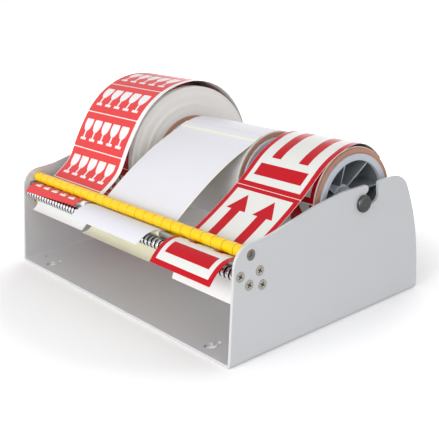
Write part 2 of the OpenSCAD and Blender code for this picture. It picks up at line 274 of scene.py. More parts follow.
# Zinc plate gone dull: greyer than the nickel, with spots about 2 mm wide.
oxide, tree, shader, place = finish_of("dark_zinc", Metallic=1.0, Roughness=0.36)
mottled(tree, shader, place, 500.0, 2.0, "77736C", "98948C")
put_on(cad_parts["recessed_screws"], oxide)


# ---- Cheeks, peel bar and rods ----
# Bright drawn steel rods run from plate to plate. The thin peel bar over which
# the liner turns back is held by two small cheeks inside the plates.

# Drawn steel: a soft grey gleam with long streaks about 1 mm wide that the die
# left along the rod, coarser than the real ones so that they show.
drawn, tree, shader, place = finish_of("drawn_steel", Metallic=1.0, Roughness=0.3)
drawn_out = add_node(tree, "ShaderNodeMapping", {"Vector": place.outputs["Object"], "Scale": (8, 900, 900)})
streaks = add_node(tree, "ShaderNodeTexNoise", {"Vector": drawn_out.outputs[0], "Scale": 1.0, "Detail": 2.0})
tone = add_node(tree, "ShaderNodeMix", {
    "Factor": streaks.outputs[0], colour_a: linear("8E8F92"), colour_b: linear("B4B5B8")}, data_type="RGBA")
tree.links.new(tone.outputs[colour_out], shader.inputs["Base Color"])
for name in ("tie_rod", "upper_axle", "lower_axle", "ribbed_axle", "guide_axle",
             "cheek_left", "cheek_right", "peel_bar"):
    put_on(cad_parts[name], drawn)


# ---- Yellow ringed rollers ----
# Loose rings of glossy yellow plastic, 12.6 mm wide, threaded on steel axles.
# Labels don't stick to them; every ring has rounded rims, and painted shade
# makes a fine dark line where two of them meet.

roller_half = 0.1571
guide_half = 0.1541
ring_count = 25
ring_radius = 0.0048
ring_rim = 0.0008
ring_gap = 0.00012
axle_bore = 0.00308
upper_at = (0, -0.0788, 0.081204)
lower_at = (0, -0.071216, 0.067188)
guide_at = (0, -0.081776, 0.05898)


def turned(mesh, profile, steps):
    """Spins a closed profile of (x, radius) points round the X axis into the bmesh."""
    points = [mesh.verts.new((x, 0, r)) for x, r in profile]
    edges = [mesh.edges.new((points[i], points[(i + 1) % len(points)])) for i in range(len(points))]
    bmesh.ops.spin(mesh, geom=points + edges, cent=(0, 0, 0), axis=(1, 0, 0),
                   angle=2 * math.pi, steps=steps, use_merge=True)


def close_up(mesh, at):
    """Merges what a spin left double, faces the shell outwards, smooths it and moves it into place."""
    bmesh.ops.remove_doubles(mesh, verts=mesh.verts, dist=1e-7)
    bmesh.ops.recalc_face_normals(mesh, faces=mesh.faces)
    bmesh.ops.translate(mesh, verts=mesh.verts, vec=at)
    for face in mesh.faces:
        face.smooth = True


def rounded_ring(x0, x1):
    """Profile of a ring from x0 to x1 with its outer rims rounded."""
    arc = [(ring_rim * math.sin(i * math.pi / 8), ring_rim * math.cos(i * math.pi / 8)) for i in range(5)]
    rim_at = ring_radius - ring_rim
    left = [(x0 + ring_rim - out, rim_at + up) for out, up in reversed(arc)]
    right = [(x1 - ring_rim + out, rim_at + up) for out, up in arc]
    return [(x0, axle_bore)] + left + right + [(x1, axle_bore)]


# Gloss acetal: a strong yellow that scatters a little light under its skin, with
# flow marks about 8 mm wide, and painted shade where two rings meet.
joint_from, joint_full = 0.93, 0.97
acetal, tree, shader, place = finish_of("yellow_acetal", Roughness=0.2, IOR=1.48)
shader.inputs["Specular IOR Level"].default_value = 0.35
shader.inputs["Subsurface Weight"].default_value = 0.12
shader.inputs["Subsurface Radius"].default_value = (1.0, 0.6, 0.1)
shader.inputs["Subsurface Scale"].default_value = 0.0015
marble, yellow = mottled(tree, shader, place, 120.0, 3.0, "F6C600", "FDD204")
from_ring_middle = add_node(tree, "ShaderNodeSeparateXYZ", {"Vector": place.outputs["UV"]})
near_rim = add_node(tree, "ShaderNodeMapRange", {
    "Value": from_ring_middle.outputs["X"], "From Min": joint_from, "From Max": joint_full})
# Painted shade along each ring's rims, where two rings meet.
rim_painted_shade = add_node(tree, "ShaderNodeMix", {
    "Factor": near_rim.outputs[0], colour_a: yellow, colour_b: linear("DCA200")}, data_type="RGBA")
tree.links.new(rim_painted_shade.outputs[colour_out], shader.inputs["Base Color"])
flow = add_node(tree, "ShaderNodeBump", {"Height": marble, "Strength": 0.08, "Distance": 0.0004})
tree.links.new(flow.outputs[0], shader.inputs["Normal"])


def ring_row(name, half, first, last, at, body, node):
    """Loose rings on one axle, from ring first up to ring last of a row that fills half to each side."""
    width = 2 * half / ring_count
    mesh = bmesh.new()
    for i in range(first, last):
        x = -half + i * width
        turned(mesh, rounded_ring(x + ring_gap, x + width - ring_gap), steps=48)
    close_up(mesh, at)
    ring_map = mesh.loops.layers.uv.verify()
    for face in mesh.faces:
        for loop in face.loops:
            across = ((loop.vert.co.x + half) / width) % 1
            loop[ring_map].uv = (abs(2 * across - 1), 0.5)
    piece_from(mesh, name, acetal, body, "yellow", node)


left_lane = 9
mid_lane = 18
ring_row("yellow_rings_left", roller_half, 0, left_lane, upper_at, "upper_roller_left", "upper_rings_left")
ring_row("yellow_rings_middle", roller_half, left_lane, mid_lane, upper_at, "upper_roller_mid",
         "upper_rings_mid")
ring_row("yellow_rings_right", roller_half, mid_lane, ring_count, upper_at, "upper_roller_right",
         "upper_rings_right")
ring_row("yellow_rings_lower", roller_half, 0, ring_count, lower_at, "lower_roller", "lower_rings")
ring_row("yellow_rings_guide", guide_half, 0, ring_count, guide_at, "guide_roller", "guide_rings")


# ---- Ribbed roller ----
# A turned steel roller with rounded ribs and deep grooves, chrome plated, so
# that the backing paper touches only the ribs.

ribbed_at = (0, -0.089504, 0.067428)
rib_count = 62

# Chrome plate: a hard mirror with a haze about 3 mm wide, and painted shade, nearly
# black, in the grooves, where the mirror would see only the flanks of the ribs.
painted_shade_below = 0.0043
bright_above = 0.00465
chrome, tree, shader, place = finish_of("chrome_plate", Metallic=1.0, Roughness=0.09)
centred = add_node(tree, "ShaderNodeMapping", {
    "Vector": place.outputs["Object"], "Location": (0, -ribbed_at[1], -ribbed_at[2]), "Scale": (0, 1, 1)})
from_axis = add_node(tree, "ShaderNodeVectorMath", {0: centred.outputs[0]}, operation="LENGTH")
on_rib = add_node(tree, "ShaderNodeMapRange", {
    "Value": from_axis.outputs["Value"], "From Min": painted_shade_below, "From Max": bright_above})
# Painted shade, near black, in the grooves between the ribs.
tone = add_node(tree, "ShaderNodeMix", {
    "Factor": on_rib.outputs[0], colour_a: linear("1D1D1F"), colour_b: linear("E9EAEC")}, data_type="RGBA")
tree.links.new(tone.outputs[colour_out], shader.inputs["Base Color"])
haze = add_node(tree, "ShaderNodeTexNoise", {
    "Vector": place.outputs["Object"], "Scale": 300.0, "Detail": 2.0})
rough = add_node(tree, "ShaderNodeMapRange", {"Value": haze.outputs[0], "To Min": 0.05, "To Max": 0.16})
tree.links.new(rough.outputs[0], shader.inputs["Roughness"])

# One rib between two half grooves: the share of the pitch, and the radius in millimetres.
rib_shape = ((0.02, 4.05), (0.12, 4.05), (0.17, 4.3), (0.22, 4.58), (0.32, 4.74), (0.5, 4.8),
             (0.68, 4.74), (0.78, 4.58), (0.83, 4.3), (0.88, 4.05))
rib_pitch = 2 * roller_half / rib_count
rib_profile = [(-roller_half, axle_bore)]
for i in range(rib_count):
    for share, radius in rib_shape:
        rib_profile.append((-roller_half + i * rib_pitch + share * rib_pitch, radius / 1000))
rib_profile += [(roller_half, rib_shape[-1][1] / 1000), (roller_half, axle_bore)]
rib_mesh = bmesh.new()
turned(rib_mesh, rib_profile, steps=40)
close_up(rib_mesh, ribbed_at)
piece_from(rib_mesh, "chrome_ribs", chrome, "support_roller", "chrome", "ribbed_roller")


# ---- Shaft ----
# A turned dark steel shaft. A groove near each end drops into the slots of the
# plates, and the heads outside keep it from sliding along.

shaft_at = (0, 0.0372, 0.0914)
shaft_end = 0.1635
shaft_radius = 0.007
neck_radius = 0.0055
neck_from = 0.1572
neck_to = 0.1603
edge = 0.0002
pole = 0.00001
one_end = [
    (neck_from - edge, shaft_radius), (neck_from, shaft_radius - edge), (neck_from, neck_radius),
    (neck_to, neck_radius), (neck_to, shaft_radius - edge), (neck_to + edge, shaft_radius),
    (shaft_end - 0.0013, shaft_radius), (shaft_end - edge, 0.0058), (shaft_end, 0.0056),
    (shaft_end, 0.0008), (shaft_end - 0.0008, pole),
]
other_end = [(-x, radius) for x, radius in reversed(one_end)]
shaft_mesh = bmesh.new()
turned(shaft_mesh, other_end + one_end, steps=64)
bmesh.ops.remove_doubles(shaft_mesh, verts=shaft_mesh.verts, dist=2.5 * pole)
close_up(shaft_mesh, shaft_at)

# Turned steel: dark and dull, with the rings of the lathe tool about 0.8 mm apart
# on its end faces, coarser than the real ones so that they show.
turned_steel, tree, shader, place = finish_of("turned_dark_steel", Metallic=1.0, Roughness=0.34)
centred = add_node(tree, "ShaderNodeMapping", {
    "Vector": place.outputs["Object"], "Location": (0, -shaft_at[1], -shaft_at[2])})
cuts = add_node(tree, "ShaderNodeTexWave", {
    "Vector": centred.outputs[0], "Scale": 400.0, "Distortion": 0.4}, wave_type="RINGS", rings_direction="X")
tone = add_node(tree, "ShaderNodeMix", {
    "Factor": cuts.outputs[0], colour_a: linear("4E5350"), colour_b: linear("5F6462")}, data_type="RGBA")
tree.links.new(tone.outputs[colour_out], shader.inputs["Base Color"])
lathe = add_node(tree, "ShaderNodeBump", {"Height": cuts.outputs[0], "Strength": 0.15, "Distance": 0.0001})
tree.links.new(lathe.outputs[0], shader.inputs["Normal"])
piece_from(shaft_mesh, "turned_shaft", turned_steel, "shaft", "dark_steel", "shaft")


# ---- Core hubs ----
# Moulded grey plastic hubs plug into both ends of every cardboard core. Behind
# the pale flange ring is a deep cup, with thin ribs that slope down from the
# ring to a boss at its bottom, and a sleeve that turns on the shaft.

core_radius = 0.038
hub_depth = 0.028
hub_bore = 0.00708
sleeve_radius = 0.009
sleeve_play = 0.00015
boss_radius = 0.011
boss_top = -0.012
ring_top = 0.0015
ring_inside = core_radius - 0.0054
cup_inside = core_radius - 0.002
cup_floor = -hub_depth + 0.002
gusset_count = 8
gusset_turn = 12
gusset_thick = 0.0012
gusset_foot = 0.0105
gusset_end = 0.0365

# Polypropylene: pale blue grey with a dull gleam, moulded with a grain about 1 mm wide.
hub_grey, tree, shader, place = finish_of("grey_polypropylene", Roughness=0.42, IOR=1.49)
grains = mottled(tree, shader, place, 900.0, 2.0, "BDC2CA", "C9CED6")[0]
grain = add_node(tree, "ShaderNodeBump", {"Height": grains, "Strength": 0.1, "Distance": 0.0001})
tree.links.new(grain.outputs[0], shader.inputs["Normal"])

# The same plastic between the ribs, with painted shade: darker and duller, because little light gets there.
hub_painted_shade, tree, shader, place = finish_of("painted_shade_polypropylene", Roughness=0.5, IOR=1.49)
mottled(tree, shader, place, 900.0, 2.0, "858B8E", "91979A")

# The flange ring, the tops of the ribs and the boss stay in the light.
lit_depth = 0.0025
lit_edge_depth = 0.02
lit_boss = 0.0115


def is_shaded(wall, face, side):
    """Whether a face of a hub lies between the ribs, below the flange ring and outside the boss."""
    middle = wall.calc_center_median()
    depth = (face - middle.x) * side
    radius = math.hypot(middle.y - shaft_at[1], middle.z - shaft_at[2])
    rib_edge = abs(wall.normal.x) > 0.5 and depth < lit_edge_depth
    return lit_depth < depth and lit_boss < radius < gusset_end and not rib_edge


def core_hub(name, face, side, reach, body):
    """A hub whose flange ring is at X = face and looks to that side; its sleeve stands out by reach."""
    mesh = bmesh.new()
    turned(mesh, [
        (-hub_depth, hub_bore), (-hub_depth, core_radius - 0.0006), (-hub_depth + 0.0006, core_radius),
        (ring_top - 0.0004, core_radius), (ring_top - 0.0001, core_radius - 0.0001),
        (ring_top, core_radius - 0.0004), (ring_top, ring_inside + 0.0004),
        (ring_top - 0.0002, ring_inside + 0.0001), (ring_top - 0.0005, ring_inside),
        (-0.002, ring_inside), (-0.002, cup_inside), (cup_floor + 0.001, cup_inside - 0.0001),
        (cup_floor, cup_inside - 0.001), (cup_floor, boss_radius + 0.0015),
        (cup_floor + 0.001, boss_radius + 0.0002), (boss_top - 0.0005, boss_radius),
        (boss_top, boss_radius - 0.0005), (boss_top, sleeve_radius + 0.0001),
        (reach - 0.0004, sleeve_radius), (reach, sleeve_radius - 0.0004),
        (reach, hub_bore + 0.00012), (reach - 0.0002, hub_bore),
    ], steps=72)
    outline = [(cup_floor - 0.0005, gusset_foot), (cup_floor - 0.0005, gusset_end), (-0.0015, gusset_end),
               (-0.0015, ring_inside - 0.0002), (boss_top + 0.0005, gusset_foot)]
    for i in range(gusset_count):
        turn = Matrix.Rotation(math.radians(360 / gusset_count * i + gusset_turn), 3, "X")
        points = [mesh.verts.new((x, -gusset_thick / 2, r)) for x, r in outline]
        wall = bmesh.ops.extrude_face_region(mesh, geom=[mesh.faces.new(points)])["geom"]
        moved = [v for v in wall if isinstance(v, bmesh.types.BMVert)]
        bmesh.ops.translate(mesh, verts=moved, vec=(0, gusset_thick, 0))
        bmesh.ops.rotate(mesh, verts=points + moved, cent=(0, 0, 0), matrix=turn)
    if side < 0:
        bmesh.ops.scale(mesh, verts=mesh.verts, vec=(-1, 1, 1))
    close_up(mesh, (face, shaft_at[1], shaft_at[2]))
    # Faces between the ribs take the second material, which is painted shade.
    for wall in mesh.faces:
        wall.material_index = int(is_shaded(wall, face, side))
    hub = piece_from(mesh, name, hub_grey, body, "hub_grey", name.replace("spoked_", ""))
    hub.data.materials.append(hub_painted_shade)
    soft_edge = hub.modifiers.new("moulded_edges", "BEVEL")
    soft_edge.width = 0.00025
    soft_edge.segments = 2
    soft_edge.limit_method = "ANGLE"
    soft_edge.angle_limit = math.radians(50)
    soft_edge.harden_normals = True


# Sleeves meet half-way between two rolls, and the last one meets the shoulder of the shaft's neck.
left_face, left_end = -0.1483, -0.059
mid_face, mid_end = -0.04475, 0.05975
right_face, right_end = 0.076, 0.15
left_reach = (mid_face - left_end) / 2 - sleeve_play
right_reach = (right_face - mid_end) / 2 - sleeve_play
core_hub("spoked_hub_left_a", left_face, -1, 0.0, "left_roll")
core_hub("spoked_hub_left_b", left_end, 1, left_reach, "left_roll")
core_hub("spoked_hub_mid_a", mid_face, -1, left_reach, "mid_roll")
core_hub("spoked_hub_mid_b", mid_end, 1, right_reach, "mid_roll")
core_hub("spoked_hub_right_a", right_face, -1, right_reach, "right_roll")
core_hub("spoked_hub_right_b", right_end, 1, neck_from - right_end, "right_roll")
put_on(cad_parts["spacer_sleeve"], hub_grey)


# ---- Cardboard cores ----
# Tubes of kraft board, 76 mm inside, wound in a spiral from glued plies. A saw
# cut them to length, which left the plies of their ends slightly crushed.

core_wall = 0.0042
core_play = 0.00005

# Kraft board: dull soft brown, with pulp about 2 mm wide and plies about 1 mm apart.
kraft, tree, shader, place = finish_of("kraft_board", Roughness=0.85, IOR=1.45)
centred = add_node(tree, "ShaderNodeMapping", {
    "Vector": place.outputs["Object"], "Location": (0, -shaft_at[1], -shaft_at[2])})
plies = add_node(tree, "ShaderNodeTexWave", {
    "Vector": centred.outputs[0], "Scale": 300.0, "Distortion": 2.5, "Detail": 2.0, "Detail Scale": 2.0},
    wave_type="RINGS", rings_direction="X")
pulp = add_node(tree, "ShaderNodeTexNoise", {
    "Vector": place.outputs["Object"], "Scale": 600.0, "Detail": 4.0})
mixed = add_node(tree, "ShaderNodeMix", {
    "Factor": 0.5, amount_a: plies.outputs[1], amount_b: pulp.outputs[0]})
tone = add_node(tree, "ShaderNodeMix", {
    "Factor": mixed.outputs[0], colour_a: linear("AC7B66"), colour_b: linear("D2A18A")}, data_type="RGBA")
tree.links.new(tone.outputs[colour_out], shader.inputs["Base Color"])
frayed = add_node(tree, "ShaderNodeBump", {"Height": mixed.outputs[0], "Strength": 0.35, "Distance": 0.0003})
tree.links.new(frayed.outputs[0], shader.inputs["Normal"])


def kraft_core(name, x0, x1, body, node):
    """A core tube from x0 to x1 with its cut edges slightly crushed."""
    inside = core_radius + core_play
    outside = core_radius + core_wall
    cut_end = [(-0.0003, inside), (0.0, inside + 0.0003), (0.0001, inside + 0.0012),
               (0.0, outside - 0.0012), (0.0001, outside - 0.0004), (-0.0002, outside)]
    right = [(x1 + proud, radius) for proud, radius in cut_end]
    left = [(x0 - proud, radius) for proud, radius in reversed(cut_end)]
    mesh = bmesh.new()
    turned(mesh, right + left, steps=96)
    close_up(mesh, shaft_at)
    piece_from(mesh, name, kraft, body, "card", node)


kraft_core("kraft_core_left", left_face, left_end, "left_roll", "core_left")
kraft_core("kraft_core_middle", mid_face, mid_end, "mid_roll", "core_mid")
kraft_core("kraft_core_right", right_face, right_end, "right_roll", "core_right")


# ---- Wound label rolls ----
# Hundreds of turns of backing paper with labels on it. The turns don't lie quite
# flush, so the sides show fine rings, and the last turns stand out a little.

left_radius = 0.0703
mid_radius = 0.0438
right_radius = 0.0435
last_layer = 0.0003
band_width = 0.0032
wander = 0.00003
roll_edge = 0.0002

# Paper edges: dull off-white, in rings about 0.7 mm apart, coarser than the
# paper's own turns so that they show, and broad clouds about 40 mm wide.
wound_edge, tree, shader, place = finish_of("wound_paper_edge", Roughness=0.75, IOR=1.45)
centred = add_node(tree, "ShaderNodeMapping", {
    "Vector": place.outputs["Object"], "Location": (0, -shaft_at[1], -shaft_at[2]), "Scale": (0.1, 1, 1)})
turns = add_node(tree, "ShaderNodeTexWave", {
    "Vector": centred.outputs[0], "Scale": 450.0, "Distortion": 3.0, "Detail": 3.0, "Detail Scale": 0.6},
    wave_type="RINGS", rings_direction="X")
shade = add_node(tree, "ShaderNodeTexNoise", {"Vector": centred.outputs[0], "Scale": 25.0, "Detail": 2.0})
mixed = add_node(tree, "ShaderNodeMix", {
    "Factor": 0.4, amount_a: turns.outputs[1], amount_b: shade.outputs[0]})
tone = add_node(tree, "ShaderNodeMix", {
    "Factor": mixed.outputs[0], colour_a: linear("E9E6E1"), colour_b: linear("F1EEEA")}, data_type="RGBA")
tree.links.new(tone.outputs[colour_out], shader.inputs["Base Color"])
steps = add_node(tree, "ShaderNodeBump", {"Height": turns.outputs[1], "Strength": 0.07, "Distance": 0.0002})
tree.links.new(steps.outputs[0], shader.inputs["Normal"])


def wound_roll(name, x0, x1, radius, body, slot, node):
    """A wound roll from x0 to x1, its side faces in small steps where the winding wandered."""
    bore = core_radius + core_wall + core_play
    count = max(2, round((radius - bore) / band_width))
    right, left = [], []
    for i in range(count):
        step = wander * math.sin(2.4 * i + 0.7) * math.sin(math.pi * i / count)
        for share in (0.02, 0.98):
            r = bore + (i + share) / count * (radius - roll_edge - bore)
            right.append((x1 + step, r))
            left.append((x0 - step, r))
    mesh = bmesh.new()
    turned(mesh, [(x0, bore)] + left + [(x0 + roll_edge, radius), (x1 - roll_edge, radius)]
           + right[::-1] + [(x1, bore)], steps=128)
    close_up(mesh, shaft_at)
    piece_from(mesh, name, wound_edge, body, slot, node)


# The right roll stops short of its core, so that the core's cut end shows.
right_short = 0.0015
wound_roll("wound_roll_left", left_face, left_end, left_radius - last_layer,
           "left_roll", "label_red", "roll_left")
wound_roll("wound_roll_middle", mid_face, mid_end, mid_radius - last_layer,
           "mid_roll", "label_white", "roll_mid")
wound_roll("wound_roll_right", right_face, right_end - right_short, right_radius - last_layer,
           "right_roll", "label_red", "roll_right")


# ---- Backing paper ----
# The web comes off the front of its roll, dips under the upper yellow rings and
# runs to the peel bar. There the glossy backing paper turns back round the bar,
# passes behind the ribbed roller and hangs out in front as a tail.

peel_at = Vector((-0.086, 0.0753))
upper_axis = Vector(upper_at[1:])
ribbed_axis = Vector(ribbed_at[1:])
guide_axis = Vector(guide_at[1:])
shaft_axis = Vector(shaft_at[1:])
paper_play = 0.00045
round_ring = ring_radius + paper_play
round_peel = 0.00265
backing_thick = 0.00014
fold_step = 0.0018


def heading(degrees):
    """Unit vector across the machine, in Y and Z."""
    return Vector((math.cos(math.radians(degrees)), math.sin(math.radians(degrees))))


def tangent(a, b, reach, side):
    """Direction of the tangent that crosses from a circle round a to one round b."""
    way = b - a
    return math.degrees(math.atan2(way.y, way.x)) + side * math.degrees(math.asin(reach / way.length))


def round_off(centre, radius, start, end, steps):
    """Points on an arc, from one angle to another."""
    return [centre + radius * heading(start + (end - start) * i / steps) for i in range(steps + 1)]


def bow(start, rise, hold, finish, land, reach, steps):
    """Points of a bow that leaves start at angle rise and reaches finish at angle land."""
    far = (finish - start).length
    near = start + hold * far * heading(rise)
    late = finish - reach * far * heading(land)
    points = []
    for i in range(1, steps + 1):
        t = i / steps
        s = 1 - t
        points.append(s ** 3 * start + 3 * s * s * t * near + 3 * s * t * t * late + t ** 3 * finish)
    return points


over = tangent(peel_at, upper_axis, round_peel + round_ring, -1)


def web_route(radius, slack, rise, hold, reach, land, last):
    """The web's route from the peel bar, under the upper rings and up to its roll, off it by slack."""
    far = radius + paper_play + slack
    start = upper_axis + round_ring * heading(rise - 90)
    finish = shaft_axis + far * heading(land)
    under_rings = round_off(upper_axis, round_ring, over - 90, rise - 90, 10)
    up_to_roll = bow(start, rise, hold, finish, land - 90, reach, 28)
    over_roll = round_off(shaft_axis, far, land, last, 14)
    return [peel_at + round_peel * heading(over + 90)] + under_rings + up_to_roll + over_roll[1:]


def tail_route(tail, curl):
    """The backing's route round the peel bar, between the ribbed roller and the guide rings, and out."""
    back = tangent(peel_at, ribbed_axis, round_peel + round_ring, 1)
    down = tangent(ribbed_axis, guide_axis, round_ring + round_ring, -1)
    end = guide_axis + round_ring * heading(down - 90)
    round_bar = round_off(peel_at, round_peel, over + 96, back + 270, 16)
    round_ribs = round_off(ribbed_axis, round_ring, back + 90, down + 90, 12)
    return round_bar + round_ribs + [end + tail * i / 8 * heading(down - curl * i / 8) for i in range(9)]


def along(route, distance):
    """The point on a route at a distance from its start, and the normal there, to the left of its way."""
    for a, b in zip(route, route[1:]):
        step = (b - a).length
        if distance <= step or b is route[-1]:
            way = (b - a).normalized()
            return a + way * distance, Vector((-way.y, way.x))
        distance -= step


def length_of(route):
    """The length of a route."""
    return sum((b - a).length for a, b in zip(route, route[1:]))


def lay_paper(mesh, route, x0, x1, s0, s1, thickness, height=0.0, corner=0.0,
              print_at=None, drift=0.0, slant=0.0):
    """Cuts a flat sheet from x0 to x1 and from s0 to s1, rounds its corners and lays it along a route.

    Its map holds its own X and length in millimetres, from print_at. Drift is how far to the right
    the route's start stands, and slant how far the sheet's front edge is cut askew.
    """
    bottom = [mesh.verts.new((x0, s0 + slant, 0)), mesh.verts.new((x1, s0 - slant, 0))]
    sheet = [mesh.faces.new(bottom + [mesh.verts.new((x1, s1, 0)), mesh.verts.new((x0, s1, 0))])]
    if corner:
        cut = bmesh.ops.bevel(mesh, geom=list(sheet[0].verts), offset=corner, offset_type="OFFSET",
                              affect="VERTICES", segments=4, profile=0.5, material=-1)
        sheet = list({face for vert in cut["verts"] for face in vert.link_faces})
    count = max(1, round((s1 - s0) / fold_step))
    for i in range(1, count):
        geom = [*sheet, *{e for f in sheet for e in f.edges}, *{v for f in sheet for v in f.verts}]
        fold_at = (0, s0 + (s1 - s0) * i / count, 0)
        made = bmesh.ops.bisect_plane(mesh, geom=geom, dist=1e-7, plane_co=fold_at, plane_no=(0, 1, 0))
        sheet = [g for g in made["geom"] if isinstance(g, bmesh.types.BMFace)]
    paper_map = mesh.loops.layers.uv.verify()
    left, start = print_at or (x0, s0)
    for face in sheet:
        for loop in face.loops:
            loop[paper_map].uv = ((loop.vert.co.x - left) * 1000, (loop.vert.co.y - start) * 1000)
    bmesh.ops.recalc_face_normals(mesh, faces=sheet)
    if sheet[0].normal.z < 0:
        bmesh.ops.reverse_faces(mesh, faces=sheet)
    back = bmesh.ops.solidify(mesh, geom=sheet, thickness=thickness)["geom"]
    points = {v for f in sheet for v in f.verts}
    points |= {v for g in back if isinstance(g, bmesh.types.BMFace) for v in g.verts}
    whole = length_of(route)
    for point in points:
        x, s, lift = point.co
        at, normal = along(route, s)
        at = at + normal * (lift + height)
        point.co = (x + drift * (1 - (s / whole) ** 2) ** 2, at.x, at.y)


# Glassine: dense, smooth backing paper, white or pale cream, with a soft sheen and
# clouds of fibres about 4 mm wide.
def glassine(name, dark, light):
    """Backing paper in a given tint, with faint fibres."""
    paper, tree, shader, place = finish_of(name, Roughness=0.38, IOR=1.46)
    fibres = add_node(tree, "ShaderNodeTexNoise", {
        "Vector": place.outputs["Object"], "Scale": 260.0, "Detail": 5.0, "Roughness": 0.7})
    tone = add_node(tree, "ShaderNodeMix", {
        "Factor": fibres.outputs[0], colour_a: linear(dark), colour_b: linear(light)}, data_type="RGBA")
    tree.links.new(tone.outputs[colour_out], shader.inputs["Base Color"])
    cockle = add_node(tree, "ShaderNodeBump", {
        "Height": fibres.outputs[0], "Strength": 0.12, "Distance": 0.0003})
    tree.links.new(cockle.outputs[0], shader.inputs["Normal"])
    return paper


white_glassine = glassine("white_glassine", "E6E6E4", "EEEEEC")
cream_glassine = glassine("cream_glassine", "ECE8C8", "F2F0D8")

left_paper = (-0.1465, -0.054)
mid_paper = (mid_face, mid_end)
right_paper = (0.081, 0.1543)
left_web = web_route(left_radius, slack=0.005, rise=30, hold=0.59, reach=0.665, land=143.5, last=90)
mid_web = web_route(mid_radius, slack=0.0, rise=38.5, hold=0.66, reach=0.1, land=119, last=108)
right_web = web_route(right_radius, slack=0.003, rise=26.7, hold=0.765, reach=0.335, land=108, last=106)
left_tail = tail_route(tail=0.011, curl=20)
mid_tail = tail_route(tail=0.014, curl=40)
right_tail = tail_route(tail=0.017, curl=0)


def backing(name, route, x0, x1, paper, slot, node):
    """A strip of backing paper along a whole route, on the side that faces the machine."""
    mesh = bmesh.new()
    lay_paper(mesh, route, x0, x1, 0.0, length_of(route), backing_thick)
    piece_from(mesh, name, paper, "frame", slot, node)


backing("liner_tail_left", left_tail, *left_paper, white_glassine, "liner_white", "liner_left")
backing("liner_tail_middle", mid_tail, *mid_paper, cream_glassine, "liner_cream", "liner_mid")
backing("liner_tail_right", right_tail, *right_paper, white_glassine, "liner_white", "liner_right")


# ---- Labels ----
# Die-cut paper labels with rounded corners sit on the web about a millimetre
# apart. The left ones are red with white glasses, the middle ones plain white,
# the right ones white with two red arrows over a bar in a red border.


# Coated paper: an even face with a low gleam, and a tooth about 1 mm wide.
def label_print(name, roughness):
    """Coated label paper, with the place on the label in millimetres and its fibres."""
    paper, tree, shader, place = finish_of(name, Roughness=roughness, IOR=1.5)
    shader.inputs["Specular IOR Level"].default_value = 0.12
    spot = add_node(tree, "ShaderNodeSeparateXYZ", {"Vector": place.outputs["UV"]})
    fibres = add_node(tree, "ShaderNodeTexNoise", {
        "Vector": place.outputs["Object"], "Scale": 900.0, "Detail": 2.0})
    tooth = add_node(tree, "ShaderNodeBump", {
        "Height": fibres.outputs[0], "Strength": 0.06, "Distance": 0.0001})
    tree.links.new(tooth.outputs[0], shader.inputs["Normal"])
    return paper, tree, shader, spot, fibres.outputs[0]


def printed_box(tree, across, up, middle, half_size):
    """Where a label shows a box, in millimetres: 1 inside it, 0 outside."""
    beside = add_node(tree, "ShaderNodeMath", {0: across, 1: middle[0], 2: half_size[0]}, operation="COMPARE")
    upward = add_node(tree, "ShaderNodeMath", {0: up, 1: middle[1], 2: half_size[1]}, operation="COMPARE")
    inside = add_node(tree, "ShaderNodeMath", {
        0: beside.outputs[0], 1: upward.outputs[0]}, operation="MULTIPLY")
    return inside.outputs[0]


def figure_of(tree, *shapes):
    """Joins the shapes of one printed figure."""
    figure = shapes[0]
    for shape in shapes[1:]:
        joined = add_node(tree, "ShaderNodeMath", {0: figure, 1: shape}, operation="MAXIMUM")
        figure = joined.outputs[0]
    return figure


def inked(tree, shader, mask, fibres, paper_dark, paper_light, ink_dark, ink_light):
    """Colours the paper, and the ink where the mask is 1."""
    bare = add_node(tree, "ShaderNodeMix", {
        "Factor": fibres, colour_a: linear(paper_dark), colour_b: linear(paper_light)}, data_type="RGBA")
    full = add_node(tree, "ShaderNodeMix", {
        "Factor": fibres, colour_a: linear(ink_dark), colour_b: linear(ink_light)}, data_type="RGBA")
    tone = add_node(tree, "ShaderNodeMix", {
        "Factor": mask, colour_a: bare.outputs[colour_out], colour_b: full.outputs[colour_out]},
        data_type="RGBA")
    tree.links.new(tone.outputs[colour_out], shader.inputs["Base Color"])


# Left label: a row of five stemmed glasses, each 22 mm high, in cells 15.6 mm wide.
cell_width = 15.6
row_middle = 42.75
row_half = 5 * cell_width / 2
bowl_at = 25.0
bowl_half = (6.3, 9.0)
glass_top = 29.0
glass_label, tree, shader, spot, fibres = label_print("red_label_with_glasses", 0.33)
across, up = spot.outputs["X"], spot.outputs["Y"]
from_row = add_node(tree, "ShaderNodeMath", {0: across, 1: row_middle - row_half}, operation="SUBTRACT")
in_cell = add_node(tree, "ShaderNodeMath", {
    0: from_row.outputs[0], 1: cell_width, 2: 0.0}, operation="WRAP")
cell = add_node(tree, "ShaderNodeMath", {0: in_cell.outputs[0], 1: cell_width / 2}, operation="SUBTRACT")
foot = printed_box(tree, cell.outputs[0], up, middle=(0.0, 8.5), half_size=(4.6, 1.3))
stem = printed_box(tree, cell.outputs[0], up, middle=(0.0, 13.0), half_size=(1.15, 5.0))
cell_spot = add_node(tree, "ShaderNodeCombineXYZ", {"X": cell.outputs[0], "Y": up})
bowl_spot = add_node(tree, "ShaderNodeMapping", {
    "Vector": cell_spot.outputs[0], "Location": (0, -bowl_at / bowl_half[1], 0),
    "Scale": (1 / bowl_half[0], 1 / bowl_half[1], 1)})
from_bowl = add_node(tree, "ShaderNodeVectorMath", {0: bowl_spot.outputs[0]}, operation="LENGTH")
in_round = add_node(tree, "ShaderNodeMath", {0: from_bowl.outputs["Value"], 1: 1.0}, operation="LESS_THAN")
below_top = add_node(tree, "ShaderNodeMath", {0: up, 1: glass_top}, operation="LESS_THAN")
bowl = add_node(tree, "ShaderNodeMath", {
    0: in_round.outputs[0], 1: below_top.outputs[0]}, operation="MULTIPLY")
